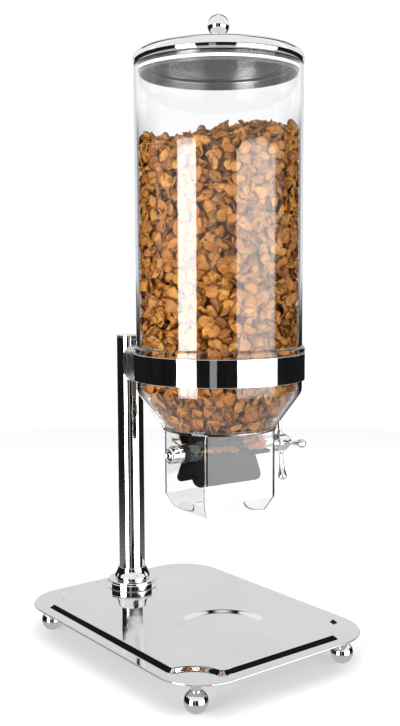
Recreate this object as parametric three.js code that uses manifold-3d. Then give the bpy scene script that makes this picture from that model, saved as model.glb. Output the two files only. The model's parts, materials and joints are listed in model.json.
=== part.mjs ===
// Cereal dispenser on a stand, in millimetres, +Z up.
// Origin: centre of the base on the floor. The outlet and the bowl recess face -Y, the post stands at +Y,
// and the turning handle is on the +X side.
import * as THREE from 'three';
import { mergeVertices } from 'three/addons/utils/BufferGeometryUtils.js';
import Module from 'manifold-3d';

const wasm = await Module();
wasm.setup();

// ---- driving dimensions ----
const GAP = 0.3; // kept between pieces that touch

const TRAY_WIDTH = 264;
const TRAY_LENGTH = 350;
const TRAY_CORNER = 55;
const SHEET = 2;
const RIM_TOP = 37;
const PLATEAU_HEIGHT = 3.5;
const PLATEAU_INSET = 12;
const BEVEL_WIDTH = 7;
const NOTCH_RADIUS = 36;
const SHOULDER_RADIUS = 10;
const RECESS_RADIUS = 53.5;
const RECESS_FLOOR_RADIUS = 46.5;
const RECESS_DEPTH = 2.5;
const PLATEAU_TOP = RIM_TOP + PLATEAU_HEIGHT;

const BALL_RADIUS = 12.5;
const BALL_FLAT_RADIUS = 4;
const FOOT_INSET = 30;
const BALL_NECK_RADIUS = 5.5;
const BALL_NECK_TOP = 32;
const STUD_RADIUS = 3;
const STUD_BOTTOM = 15;

const AXIS_Y = -55; // the container's upright axis
const RECESS_Y = -61; // the bowl recess lies a little in front of it
const CONTAINER_TURN = -4; // degrees that the container stands turned in its ring
const POST_Y = 121.5;
const POST_RADIUS = 15.9;
const POST_WALL = 1.5;
const POST_TOP = 357;
const FLANGE_RADIUS = 30.5;
const FLANGE_HEIGHT = 10;
const COLLAR_RADIUS = 22;
const COLLAR_HEIGHT = 15;

const RING_RADIUS = 93;
const RING_THICKNESS = 1.5;
const RING_BOTTOM = 318;
const RING_TOP = 347;
const BOLT_Z = 322;
const ARM_HOLE_END = 84;
const ARM_SCREW_Y = 99;
const ARM_SCREW_RADIUS = 3.5;

const TUBE_RADIUS = 90;
const TUBE_WALL = 3.5;
const TUBE_TOP = 650;
const TUBE_SEAM = 330;
const SHOULDER_LIP = 2.8;
const SHOULDER_HEIGHT = 6.7;
const CONE_TOP = 305;
const CONE_BOTTOM = 267;
const CONE_BOTTOM_RADIUS = 62.5;

const CHUTE_WIDTH = 93; // along the shaft
const CHUTE_DEPTH = 84.5;
const CHUTE_CORNER = 5;
const CHUTE_WALL = 2.2;
const CHUTE_TOP = 263.4;
const CHUTE_BOTTOM = 189;
const OUTLET_BOTTOM = 174;
const OUTLET_WIDTH = 79;
const OUTLET_DEPTH = 70;

const LID_RADIUS = 91.1;
const LID_SHEET = 0.8;
const LID_WIDEST_Z = 657;
const LID_LIP_RADIUS = 87.5; // where the rolled edge ends, on the tube's top
const CROWN_EDGE_RADIUS = 80;
const CROWN_RADIUS = 350;
const LID_APEX = 676;
const PLUG_RADIUS = 84;
const PLUG_BOTTOM = 640.6;
const PLUG_CEILING = 650;
const SEAL_HEIGHT = 3;
const KNOB_RADIUS = 11.8;
const KNOB_CENTRE = 693.2;

const SHAFT_Z = 239;
const SHAFT_RADIUS = 4;
const BORE = SHAFT_RADIUS + GAP;
const SHAFT_LEFT = -63;
const SHAFT_RIGHT = 90.5;
const CORE_RADIUS = 10;
const CORE_HALF = 33;
const VANE_COUNT = 6;
const VANE_RADIUS = 39.6;
const VANE_HALF_WIDTH = 43.8;
const VANE_THICKNESS = 2.6;
const VANE_FIRST_ANGLE = -30; // degrees from straight down, towards -Y
const BUSH_RADIUS = 8;
const BUSH_FLANGE = 1.5;
const SHAFT_WASHER = 0.8;
const CAP_NUT_LENGTH = 16.6;
const HUB_X = 85;
const HUB_RADIUS = 10;
const ARM_REACH = 43.4;
const HANDLE_TURN = -6; // degrees, the lower arm swung towards -Y

const FINE = 40; // sides of large round pieces
const MEDIUM = 16; // sides of small round pieces

// ---- materials ----
const steel = (roughness) => new THREE.MeshStandardMaterial({ color: 0xc9c9cb, metalness: 1, roughness });
const polished = steel(0.08);
const satin = steel(0.3);
const acrylic = new THREE.MeshStandardMaterial({
  color: 0xf2f5f5, roughness: 0.05, metalness: 0, transparent: true, opacity: 0.35,
});
const rubber = new THREE.MeshStandardMaterial({ color: 0x141414, roughness: 0.6, metalness: 0 });
const silicone = new THREE.MeshStandardMaterial({ color: 0xdcdcd4, roughness: 0.5, metalness: 0 });
const nylon = new THREE.MeshStandardMaterial({ color: 0x1b1b1c, roughness: 0.4, metalness: 0 });

// ---- geometry helpers ----
const rad = THREE.MathUtils.degToRad;

function onlyPositions(geometry) {
  for (const name of Object.keys(geometry.attributes)) {
    if (name !== 'position') geometry.deleteAttribute(name);
  }
  return mergeVertices(geometry, 1e-4);
}

function solid(geometry) {
  const merged = onlyPositions(geometry);
  const index = merged.index.array;
  const triangles = [];
  for (let i = 0; i < index.length; i += 3) {
    const [a, b, c] = [index[i], index[i + 1], index[i + 2]];
    if (a !== b && b !== c && a !== c) triangles.push(a, b, c);
  }
  return new wasm.Manifold(new wasm.Mesh({
    numProp: 3,
    vertProperties: Float32Array.from(merged.attributes.position.array),
    triVerts: Uint32Array.from(triangles),
  }));
}

function geometryOf(manifold) {
  const { vertProperties, triVerts } = manifold.getMesh();
  const geometry = new THREE.BufferGeometry();
  geometry.setAttribute('position', new THREE.BufferAttribute(vertProperties, 3));
  geometry.setIndex(new THREE.BufferAttribute(triVerts, 1));
  const faceted = geometry.toNonIndexed();
  faceted.computeVertexNormals();
  return faceted;
}

function signedArea(points) {
  let area = 0;
  points.forEach(([x, y], i) => {
    const [nx, ny] = points[(i + 1) % points.length];
    area += (x * ny - nx * y) / 2;
  });
  return area;
}

// Turns a closed profile of [radius, height] pairs about Z. A profile that touches the axis stays open there.
function turned(profile, sides = MEDIUM) {
  const ordered = signedArea(profile) > 0 ? profile : [...profile].reverse();
  const points = ordered.map(([r, z]) => new THREE.Vector2(r, z));
  const first = ordered[0];
  const last = ordered[ordered.length - 1];
  if (!(first[0] === 0 && last[0] === 0)) points.push(points[0].clone());
  return solid(new THREE.LatheGeometry(points, sides).rotateX(Math.PI / 2));
}

function disc(radius, bottom, top, sides = MEDIUM) {
  return turned([[0, bottom], [radius, bottom], [radius, top], [0, top]], sides);
}

function pipe(inner, outer, bottom, top, sides = MEDIUM) {
  return turned([[inner, bottom], [outer, bottom], [outer, top], [inner, top]], sides);
}

// Joins rings of [x, y, z] points, all with the same count and turning anticlockwise seen from the last ring,
// into a closed solid.
function loft(rings) {
  const count = rings[0].length;
  const flat = rings[0].map(([x, y]) => new THREE.Vector2(x, y));
  const cap = THREE.ShapeUtils.triangulateShape(flat, []);
  const last = (rings.length - 1) * count;
  const index = [];
  for (const [a, b, c] of cap) {
    index.push(a, c, b);
    index.push(last + a, last + b, last + c);
  }
  for (let level = 0; level < rings.length - 1; level += 1) {
    for (let i = 0; i < count; i += 1) {
      const a = level * count + i;
      const b = level * count + ((i + 1) % count);
      index.push(a, b, a + count);
      index.push(b, b + count, a + count);
    }
  }
  const geometry = new THREE.BufferGeometry();
  geometry.setAttribute('position', new THREE.Float32BufferAttribute(rings.flat(2), 3));
  geometry.setIndex(index);
  return solid(geometry);
}

function atHeight(outline, z) {
  return outline.map(([x, y]) => [x, y, z]);
}

function arc(cx, cy, radius, from, to, steps) {
  const points = [];
  for (let i = 0; i <= steps; i += 1) {
    const angle = from + ((to - from) * i) / steps;
    points.push([cx + radius * Math.cos(angle), cy + radius * Math.sin(angle)]);
  }
  return points;
}

// The outline of one corner, made for the +X +Y corner and turned round to each of the four.
function fourCorners(corner) {
  const signs = [[1, 1], [-1, 1], [-1, -1], [1, -1]];
  return signs.flatMap(([sx, sy]) => {
    const points = corner.map(([x, y]) => [x * sx, y * sy]);
    return sx * sy > 0 ? points : points.reverse();
  });
}

function roundedRectangle(width, depth, radius, steps = 6) {
  const corner = arc(width / 2 - radius, depth / 2 - radius, radius, 0, Math.PI / 2, steps);
  return fourCorners(corner);
}

// The plateau's outline, moved inwards by inset. Each corner is a hollow arc between two round shoulders.
function notchedOutline(inset) {
  const halfWidth = TRAY_WIDTH / 2 - PLATEAU_INSET;
  const halfLength = TRAY_LENGTH / 2 - PLATEAU_INSET;
  const reach = NOTCH_RADIUS + SHOULDER_RADIUS;
  const drop = Math.sqrt(reach ** 2 - SHOULDER_RADIUS ** 2);
  const tilt = Math.atan2(SHOULDER_RADIUS, drop);
  const shoulder = SHOULDER_RADIUS - inset;
  const hollow = NOTCH_RADIUS + inset;
  const quarter = Math.PI / 2;
  return fourCorners([
    ...arc(halfWidth - SHOULDER_RADIUS, halfLength - drop, shoulder, 0, quarter - tilt, 5),
    ...arc(halfWidth, halfLength, hollow, -quarter - tilt, -2 * quarter + tilt, 9).slice(1, -1),
    ...arc(halfWidth - drop, halfLength - SHOULDER_RADIUS, shoulder, tilt, quarter, 5),
  ]);
}

function hexagon(acrossFlats, bottom, top) {
  const radius = acrossFlats / Math.sqrt(3);
  return turned([[0, bottom], [radius, bottom], [radius, top], [0, top]], 6);
}

// ---- placing ----
const dispenser = new THREE.Group();
const ring = new THREE.Group(); // its origin is on the container's axis at floor height
ring.position.set(0, AXIS_Y, 0);
const container = new THREE.Group(); // the same place, turned with the container
container.rotation.z = rad(CONTAINER_TURN);
const wheel = new THREE.Group(); // its Z runs along the shaft, towards the handle
wheel.position.set(0, 0, SHAFT_Z);
wheel.rotation.y = Math.PI / 2;
dispenser.add(ring);
ring.add(container);
container.add(wheel);

function place(name, shape, material, group = dispenser) {
  const mesh = new THREE.Mesh(geometryOf(shape), material);
  mesh.name = name;
  group.add(mesh);
  return mesh;
}

// ---- base ----
function baseTray() {
  const rimBottom = RIM_TOP - SHEET;
  const rimOutline = roundedRectangle(TRAY_WIDTH, TRAY_LENGTH, TRAY_CORNER, 10);
  const rim = loft([atHeight(rimOutline, rimBottom), atHeight(rimOutline, RIM_TOP)]);
  const plateau = loft([
    atHeight(notchedOutline(-0.2), RIM_TOP - 0.1),
    atHeight(notchedOutline(BEVEL_WIDTH), PLATEAU_TOP),
  ]);
  const pocket = loft([
    atHeight(notchedOutline(1.5), rimBottom - 1),
    atHeight(notchedOutline(BEVEL_WIDTH + 2), PLATEAU_TOP - SHEET),
  ]);
  const recessFloor = PLATEAU_TOP - RECESS_DEPTH;
  const dish = disc(RECESS_RADIUS + 2, recessFloor - SHEET, PLATEAU_TOP - 1, FINE).translate([0, RECESS_Y, 0]);
  const slope = (RECESS_RADIUS - RECESS_FLOOR_RADIUS) / RECESS_DEPTH;
  const recess = turned([
    [0, recessFloor],
    [RECESS_FLOOR_RADIUS, recessFloor],
    [RECESS_RADIUS + slope, PLATEAU_TOP + 1],
    [0, PLATEAU_TOP + 1],
  ], FINE).translate([0, RECESS_Y, 0]);
  const boltHole = disc(BORE + GAP, rimBottom, PLATEAU_TOP + 1).translate([0, POST_Y, 0]);
  return rim.add(plateau).subtract(pocket).add(dish).subtract(recess).subtract(boltHole);
}

function footBall() {
  const centre = Math.sqrt(BALL_RADIUS ** 2 - BALL_FLAT_RADIUS ** 2);
  const start = Math.asin(BALL_FLAT_RADIUS / BALL_RADIUS) - Math.PI / 2;
  const end = Math.acos(BALL_NECK_RADIUS / BALL_RADIUS);
  const sphere = arc(0, centre, BALL_RADIUS, start, end, 8);
  const ball = turned([[0, 0], ...sphere, [BALL_NECK_RADIUS, BALL_NECK_TOP], [0, BALL_NECK_TOP]]);
  return ball.subtract(disc(STUD_RADIUS + GAP, STUD_BOTTOM - 1, BALL_NECK_TOP + 1));
}

function footStud() {
  const plateTop = RIM_TOP - SHEET - GAP;
  const plateBottom = plateTop - 2;
  const plateRadius = 7;
  return turned([
    [0, STUD_BOTTOM],
    [STUD_RADIUS, STUD_BOTTOM],
    [STUD_RADIUS, plateBottom],
    [plateRadius, plateBottom],
    [plateRadius, plateTop],
    [0, plateTop],
  ]);
}

place('base_tray', baseTray(), polished);
for (const [end, sy] of [['front', -1], ['rear', 1]]) {
  for (const [side, sx] of [['left', -1], ['right', 1]]) {
    const x = sx * (TRAY_WIDTH / 2 - FOOT_INSET);
    const y = sy * (TRAY_LENGTH / 2 - FOOT_INSET);
    place(`foot_ball_${end}_${side}`, footBall(), polished).position.set(x, y, 0);
    place(`foot_stud_${end}_${side}`, footStud(), satin).position.set(x, y, 0);
  }
}

// ---- post ----
const flangeBottom = PLATEAU_TOP + GAP;
const flangeTop = flangeBottom + FLANGE_HEIGHT;
const collarBottom = flangeTop + GAP;
const post = new THREE.Group();
post.position.set(0, POST_Y, 0);
dispenser.add(post);

const sleeve = POST_RADIUS + GAP;
const postInside = POST_RADIUS - POST_WALL;
place('post_flange', turned([
  [sleeve, flangeBottom],
  [FLANGE_RADIUS, flangeBottom],
  [FLANGE_RADIUS, flangeTop - 1],
  [FLANGE_RADIUS - 1, flangeTop],
  [sleeve, flangeTop],
], FINE), polished, post);
place('post_collar', turned([
  [sleeve, collarBottom],
  [COLLAR_RADIUS, collarBottom],
  [COLLAR_RADIUS, collarBottom + 3],
  [POST_RADIUS + 3, collarBottom + 9],
  [POST_RADIUS + 1.2, collarBottom + COLLAR_HEIGHT],
  [sleeve, collarBottom + COLLAR_HEIGHT],
], FINE), polished, post);

function alongY(shape, y, z) {
  return shape.rotate([-90, 0, 0]).translate([0, y, z]);
}

const capBottom = POST_TOP - 2;
const crossHole = alongY(disc(BORE, -40, 40), 0, BOLT_Z);
const postTube = pipe(postInside, POST_RADIUS, flangeBottom, capBottom - GAP, FINE);
place('post_tube', postTube.subtract(crossHole), polished, post);
place('post_cap', turned([
  [0, capBottom - 8],
  [postInside - GAP, capBottom - 8],
  [postInside - GAP, capBottom],
  [POST_RADIUS, capBottom],
  [POST_RADIUS, POST_TOP - 0.8],
  [POST_RADIUS - 0.8, POST_TOP],
  [0, POST_TOP],
], FINE), polished, post);
const plugTop = flangeBottom + 22;
place('post_plug', pipe(BORE, postInside - GAP, flangeBottom, plugTop), satin, post);
const washerTop = PLATEAU_TOP - SHEET - GAP;
const washerBottom = washerTop - 1.6;
place('post_washer', pipe(BORE, 15, washerBottom, washerTop), satin, post);
const headTop = washerBottom - GAP;
const postBolt = disc(SHAFT_RADIUS, headTop - 1, plugTop - 3).add(hexagon(13, headTop - 5.3, headTop));
place('post_bolt', postBolt, satin, post);

// ---- ring and the arm that joins it to the post ----
function superellipse(halfWidth, halfHeight, centreZ, y, steps = 28) {
  const ring = [];
  for (let i = 0; i < steps; i += 1) {
    const angle = (2 * Math.PI * i) / steps;
    const power = 0.8;
    const x = halfWidth * Math.sign(Math.cos(angle)) * Math.abs(Math.cos(angle)) ** power;
    const z = halfHeight * Math.sign(Math.sin(angle)) * Math.abs(Math.sin(angle)) ** power;
    ring.push([x, centreZ + z, -y]);
  }
  return ring;
}

function ringArm() {
  const postSide = POST_Y - 4.5;
  const ringSide = 24;
  const rough = loft([
    superellipse(15, 21, BOLT_Z - 0.5, postSide),
    superellipse(15, 21, BOLT_Z - 0.5, POST_Y - 26),
    superellipse(13.5, 16, 329, 60),
    superellipse(13, 13.2, 332.5, ringSide),
  ]).rotate([90, 0, 0]);
  const postSpace = disc(POST_RADIUS + GAP, 250, 400, FINE).translate([0, POST_Y, 0]);
  const ringSpace = disc(RING_RADIUS + GAP, 250, 400, FINE).translate([0, AXIS_Y, 0]);
  const boltHole = alongY(disc(BORE, 0, 40), ARM_HOLE_END, BOLT_Z);
  const screwHole = disc(ARM_SCREW_RADIUS + GAP, -20, -4.9).rotate([0, 90, 0]);
  const holes = boltHole.add(screwHole.translate([0, ARM_SCREW_Y, BOLT_Z]));
  return rough.subtract(postSpace).subtract(ringSpace).subtract(holes);
}

place('ring_arm', ringArm(), satin);
const armBolt = disc(SHAFT_RADIUS, -51, 1).add(turned([
  [0, 0],
  [7, 0],
  [7, 2.6],
  [5.4, 4.6],
  [0, 5.4],
], MEDIUM));
place('arm_bolt', alongY(armBolt, POST_Y + POST_RADIUS + GAP, BOLT_Z), satin);
const socket = hexagon(3, -13.6, -10.5);
const setScrew = disc(ARM_SCREW_RADIUS, -13.2, -5.2).subtract(socket).rotate([0, 90, 0]);
place('arm_set_screw', setScrew.translate([0, ARM_SCREW_Y, BOLT_Z]), satin);
const ringInside = RING_RADIUS - RING_THICKNESS;
place('collar_ring', pipe(ringInside, RING_RADIUS, RING_BOTTOM, RING_TOP, FINE), polished, ring);
const ringLiner = pipe(TUBE_RADIUS + GAP, ringInside - GAP, RING_BOTTOM + 0.5, RING_TOP - 0.5, FINE);
place('ring_liner', ringLiner, rubber, ring);

// ---- container ----
const tubeInside = TUBE_RADIUS - TUBE_WALL;
place('container_tube', turned([
  [tubeInside, TUBE_SEAM + GAP],
  [TUBE_RADIUS, TUBE_SEAM + GAP],
  [TUBE_RADIUS, RING_TOP + GAP],
  [TUBE_RADIUS + SHOULDER_LIP, RING_TOP + GAP],
  [TUBE_RADIUS + SHOULDER_LIP, RING_TOP + SHOULDER_HEIGHT],
  [TUBE_RADIUS, RING_TOP + SHOULDER_HEIGHT + 0.8],
  [TUBE_RADIUS, TUBE_TOP],
  [tubeInside, TUBE_TOP],
], FINE), acrylic, container);

function hopperFunnel() {
  const wall = 2.9;
  const floorTop = CHUTE_TOP + 2.8;
  const cup = turned([
    [0, CHUTE_TOP + GAP],
    [CONE_BOTTOM_RADIUS, CHUTE_TOP + GAP],
    [CONE_BOTTOM_RADIUS, CONE_BOTTOM],
    [TUBE_RADIUS, CONE_TOP],
    [TUBE_RADIUS, TUBE_SEAM],
    [tubeInside, TUBE_SEAM],
    [tubeInside, CONE_TOP + 1.4],
    [CONE_BOTTOM_RADIUS - wall, floorTop + 3.2],
    [CONE_BOTTOM_RADIUS - wall, floorTop],
    [0, floorTop],
  ], FINE);
  const throatWidth = CHUTE_WIDTH - 2 * CHUTE_WALL;
  const throatDepth = CHUTE_DEPTH - 2 * CHUTE_WALL;
  const throat = roundedRectangle(throatWidth, throatDepth, CHUTE_CORNER - CHUTE_WALL);
  return cup.subtract(loft([atHeight(throat, CHUTE_TOP - 5), atHeight(throat, floorTop + 5)]));
}

function outletChute() {
  const skin = (inset, overrun) => loft([
    [OUTLET_WIDTH, OUTLET_DEPTH, OUTLET_BOTTOM - overrun],
    [CHUTE_WIDTH, CHUTE_DEPTH, CHUTE_BOTTOM],
    [CHUTE_WIDTH, CHUTE_DEPTH, CHUTE_TOP + overrun],
  ].map(([width, depth, z]) => atHeight(
    roundedRectangle(width - 2 * inset, depth - 2 * inset, CHUTE_CORNER - inset), z,
  )));
  const bushHoles = disc(BUSH_RADIUS + GAP, -60, 60).rotate([0, 90, 0]).translate([0, 0, SHAFT_Z]);
  return skin(0, 0).subtract(skin(CHUTE_WALL, 0.01)).subtract(bushHoles);
}

place('hopper_funnel', hopperFunnel(), acrylic, container);
place('outlet_chute', outletChute(), acrylic, container);

// ---- lid ----
const lidRest = TUBE_TOP + GAP;

function lidShell() {
  const crown = (r, top) => top - r ** 2 / (2 * CROWN_RADIUS);
  const skin = (inset) => {
    const edge = LID_RADIUS - inset;
    const apex = LID_APEX - inset;
    const lip = lidRest + inset;
    const knee = crown(CROWN_EDGE_RADIUS, apex);
    const corner = knee - ((edge - CROWN_EDGE_RADIUS) * CROWN_EDGE_RADIUS) / CROWN_RADIUS;
    const rolledEdge = new THREE.QuadraticBezierCurve(
      new THREE.Vector2(LID_LIP_RADIUS, lip),
      new THREE.Vector2(edge, lip),
      new THREE.Vector2(edge, LID_WIDEST_Z),
    );
    const shoulder = new THREE.QuadraticBezierCurve(
      new THREE.Vector2(edge, LID_WIDEST_Z),
      new THREE.Vector2(edge, corner),
      new THREE.Vector2(CROWN_EDGE_RADIUS, knee),
    );
    const radii = [56, 28, 3 + GAP];
    return [
      ...rolledEdge.getPoints(4).map((p) => [p.x, p.y]),
      ...shoulder.getPoints(4).slice(1).map((p) => [p.x, p.y]),
      ...radii.map((r) => [r, crown(r, apex)]),
    ];
  };
  return turned([...skin(0), ...skin(LID_SHEET).reverse()], FINE);
}

const plugInside = PLUG_RADIUS - 0.8;
const plugFlangeRadius = LID_LIP_RADIUS + 0.8;
const plugFlange = lidRest + LID_SHEET + GAP;
const knobFoot = LID_APEX + GAP;
const knobNeck = 6.5;
const knobStart = -Math.acos(knobNeck / KNOB_RADIUS);
const lid = new THREE.Group();
container.add(lid);
place('lid_shell', lidShell(), polished, lid);
place('lid_plug', turned([
  [0, PLUG_CEILING],
  [plugInside, PLUG_CEILING],
  [plugInside, PLUG_BOTTOM],
  [PLUG_RADIUS, PLUG_BOTTOM],
  [PLUG_RADIUS, plugFlange],
  [plugFlangeRadius, plugFlange],
  [plugFlangeRadius, plugFlange + 1],
  [plugInside, plugFlange + 1],
  [plugInside - 1, PLUG_CEILING + 1],
  [0, PLUG_CEILING + 1],
], FINE), satin, lid);
const sealBottom = PLUG_BOTTOM + 3.4;
const lidSeal = pipe(PLUG_RADIUS + GAP, tubeInside - GAP, sealBottom, sealBottom + SEAL_HEIGHT, FINE);
place('lid_seal', lidSeal, silicone, lid);
place('lid_knob', turned([
  [0, LID_APEX - 12],
  [3, LID_APEX - 12],
  [3, knobFoot],
  [knobNeck, knobFoot],
  ...arc(0, KNOB_CENTRE, KNOB_RADIUS, knobStart, Math.PI / 2, 8).slice(0, -1),
  [0, KNOB_CENTRE + KNOB_RADIUS],
]), polished, lid);
const knobNut = hexagon(10, LID_APEX - LID_SHEET - 5, LID_APEX - LID_SHEET - 2 * GAP);
place('knob_nut', knobNut.subtract(disc(3 + GAP, LID_APEX - 20, LID_APEX)), satin, lid);

// ---- shaft and paddle wheel, along the wheel group's Z ----
// Straight down is the group's +X, and towards the front of the machine is its -Y.
place('drive_shaft', disc(SHAFT_RADIUS, SHAFT_LEFT, SHAFT_RIGHT, MEDIUM), satin, wheel);
place('wheel_core', pipe(BORE, CORE_RADIUS, -CORE_HALF, CORE_HALF), nylon, wheel);

function paddleWheel() {
  const root = CORE_RADIUS + 2;
  const round = 9;
  const shape = new THREE.Shape();
  shape.moveTo(root, -VANE_HALF_WIDTH);
  shape.lineTo(VANE_RADIUS - round, -VANE_HALF_WIDTH);
  shape.absarc(VANE_RADIUS - round, round - VANE_HALF_WIDTH, round, -Math.PI / 2, 0);
  shape.absarc(VANE_RADIUS - round, VANE_HALF_WIDTH - round, round, 0, Math.PI / 2);
  shape.lineTo(root, VANE_HALF_WIDTH);
  const options = { depth: VANE_THICKNESS, bevelEnabled: false, curveSegments: 4 };
  const blade = new THREE.ExtrudeGeometry(shape, options);
  blade.translate(0, 0, -VANE_THICKNESS / 2).rotateX(Math.PI / 2);
  const vane = solid(blade);
  let paddle = pipe(CORE_RADIUS + GAP, CORE_RADIUS + 3, -CORE_HALF, CORE_HALF);
  for (let i = 0; i < VANE_COUNT; i += 1) {
    paddle = paddle.add(vane.rotate([0, 0, VANE_FIRST_ANGLE + (360 / VANE_COUNT) * i]));
  }
  return paddle;
}

place('paddle_wheel', paddleWheel(), rubber, wheel);

const wallInside = CHUTE_WIDTH / 2 - CHUTE_WALL;
const wallOutside = CHUTE_WIDTH / 2;
const bushInside = wallInside - GAP;
const flangeOutside = wallOutside + BUSH_FLANGE;

function ribbedCollar() {
  const from = CORE_HALF + GAP;
  const to = bushInside - GAP;
  let collar = pipe(BORE, 9, from, to);
  const groove = solid(new THREE.BoxGeometry(1.6, 1.4, to - from + 2)).translate([9, 0, (from + to) / 2]);
  for (let angle = 0; angle < 360; angle += 30) {
    collar = collar.subtract(groove.rotate([0, 0, angle]));
  }
  return collar;
}

const bush = turned([
  [BORE, bushInside],
  [BUSH_RADIUS, bushInside],
  [BUSH_RADIUS, wallOutside + GAP],
  [BUSH_RADIUS + 2, wallOutside + GAP],
  [BUSH_RADIUS + 2, flangeOutside],
  [BORE, flangeOutside],
]);
for (const [side, turn] of [['left', 180], ['right', 0]]) {
  place(`core_collar_${side}`, ribbedCollar().rotate([0, turn, 0]), nylon, wheel);
  place(`shaft_bush_${side}`, bush.rotate([0, turn, 0]), nylon, wheel);
}

// ---- cap nut on the left end ----
const leftWasher = flangeOutside + GAP;
place('shaft_washer', pipe(BORE, 7, leftWasher, leftWasher + SHAFT_WASHER).rotate([0, 180, 0]), satin, wheel);
const nutInner = leftWasher + SHAFT_WASHER + GAP;
const nutOuter = nutInner + CAP_NUT_LENGTH;
const capNut = turned([
  [0, -SHAFT_LEFT + GAP],
  [BORE, -SHAFT_LEFT + GAP],
  [BORE, nutInner],
  [8, nutInner],
  [9, nutInner + 1],
  [9, nutInner + 5],
  [7.8, nutInner + 6],
  [7.8, nutInner + 7.4],
  [9, nutInner + 8.4],
  [9, nutOuter - 1.5],
  [7.6, nutOuter],
  [0, nutOuter],
]);
place('cap_nut', capNut.rotate([0, 180, 0]), polished, wheel);

// ---- cross handle on the right end ----
const handleFrom = flangeOutside + GAP;
const hubFrom = HUB_X - 8.5;
const hubTo = HUB_X + 8;
place('handle_sleeve', turned([
  [BORE, handleFrom],
  [7.5, handleFrom],
  [7.5, handleFrom + 3],
  [6.2, handleFrom + 5],
  [6.2, hubFrom - 4],
  [7.8, hubFrom - GAP],
  [BORE, hubFrom - GAP],
]), polished, wheel);

function handleHub() {
  const nose = arc(0, hubTo - 2, 8, 0, Math.PI / 2, 8).slice(0, -1);
  let hub = turned([
    [BORE, hubFrom],
    [8.4, hubFrom],
    [HUB_RADIUS, hubFrom + 2],
    [HUB_RADIUS, hubTo - 3],
    ...nose,
    [0, hubTo + 6],
    [0, SHAFT_RIGHT + GAP],
    [BORE, SHAFT_RIGHT + GAP],
  ]);
  const armSocket = disc(2.8, 6.5, 20).rotate([0, 90, 0]).translate([0, 0, HUB_X]);
  for (let angle = 0; angle < 360; angle += 90) {
    hub = hub.subtract(armSocket.rotate([0, 0, angle + HANDLE_TURN]));
  }
  const screwSocket = disc(2.3, 4.5, 20).rotate([0, 90, 45 + HANDLE_TURN]).translate([0, 0, HUB_X - 4]);
  return hub.subtract(screwSocket);
}

place('handle_hub', handleHub(), polished, wheel);
const armShape = turned([
  [0, 6.8],
  [2.5, 6.8],
  [2.5, HUB_RADIUS + GAP],
  [3.2, HUB_RADIUS + 2 * GAP],
  [1.9, 14],
  [2.3, 22],
  [3.4, 31],
  [4.6, 36],
  [5, 39],
  [4.6, 41.4],
  [3, 43],
  [0, ARM_REACH],
], MEDIUM).rotate([0, 90, 0]).translate([0, 0, HUB_X]);
const armAngles = { lower: 0, rear: 90, upper: 180, front: 270 };
for (const [side, angle] of Object.entries(armAngles)) {
  place(`handle_arm_${side}`, armShape.rotate([0, 0, angle + HANDLE_TURN]), polished, wheel);
}
const hubScrew = disc(2, 4.8, 9.4).subtract(hexagon(1.8, 7.4, 10));
const screwPlace = hubScrew.rotate([0, 90, 45 + HANDLE_TURN]).translate([0, 0, HUB_X - 4]);
place('handle_set_screw', screwPlace, satin, wheel);

export default dispenser;
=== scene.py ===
"""The looks of the cereal dispenser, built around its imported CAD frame. Metres, +Z up, outlet towards -Y."""
import json
import math

import bmesh
import bpy
import numpy as np
from mathutils import Matrix, Vector
from mathutils.geometry import tessellate_polygon


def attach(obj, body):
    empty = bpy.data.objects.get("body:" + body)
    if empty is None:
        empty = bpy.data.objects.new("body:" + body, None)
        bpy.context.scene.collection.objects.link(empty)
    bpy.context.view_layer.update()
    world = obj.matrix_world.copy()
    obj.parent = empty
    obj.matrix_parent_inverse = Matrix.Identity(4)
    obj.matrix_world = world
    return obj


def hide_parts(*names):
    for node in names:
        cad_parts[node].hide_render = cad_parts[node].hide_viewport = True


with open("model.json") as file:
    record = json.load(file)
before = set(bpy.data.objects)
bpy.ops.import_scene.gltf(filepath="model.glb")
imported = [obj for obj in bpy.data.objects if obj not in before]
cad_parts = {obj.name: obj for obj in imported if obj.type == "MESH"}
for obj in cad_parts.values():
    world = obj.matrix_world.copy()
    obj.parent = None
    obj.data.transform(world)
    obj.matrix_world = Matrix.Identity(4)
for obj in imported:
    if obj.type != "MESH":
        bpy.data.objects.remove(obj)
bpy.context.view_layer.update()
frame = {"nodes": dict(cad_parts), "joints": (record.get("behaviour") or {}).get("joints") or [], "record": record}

MM = 0.001
QUARTER = math.pi / 2
rng = np.random.default_rng(747)


# ---- camera ----
CAMERA_PLACE = Vector((-0.6687, -0.8935, 0.4390))
CAMERA_YAW = math.radians(37.43)  # from +Y towards +X
CAMERA_PITCH = math.radians(5.68)  # downwards
CAMERA_ROLL = math.radians(-0.25)
CAMERA_LENS = 48.91
CAMERA_SHIFT = (0.0005, 0.0034)


def make_camera():
    cos_pitch = math.cos(CAMERA_PITCH)
    forward = Vector((
        math.sin(CAMERA_YAW) * cos_pitch,
        math.cos(CAMERA_YAW) * cos_pitch,
        -math.sin(CAMERA_PITCH),
    ))
    level = Vector((math.cos(CAMERA_YAW), -math.sin(CAMERA_YAW), 0))
    upright = level.cross(forward)
    right = level * math.cos(CAMERA_ROLL) + upright * math.sin(CAMERA_ROLL)
    up = right.cross(forward)
    turn = Matrix((right, up, -forward)).transposed().to_4x4()
    data = bpy.data.cameras.new("camera")
    data.lens = CAMERA_LENS
    data.shift_x, data.shift_y = CAMERA_SHIFT
    camera = bpy.data.objects.new("camera", data)
    camera.matrix_world = Matrix.Translation(CAMERA_PLACE) @ turn
    bpy.context.scene.collection.objects.link(camera)
    bpy.context.scene.camera = camera


make_camera()


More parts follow.
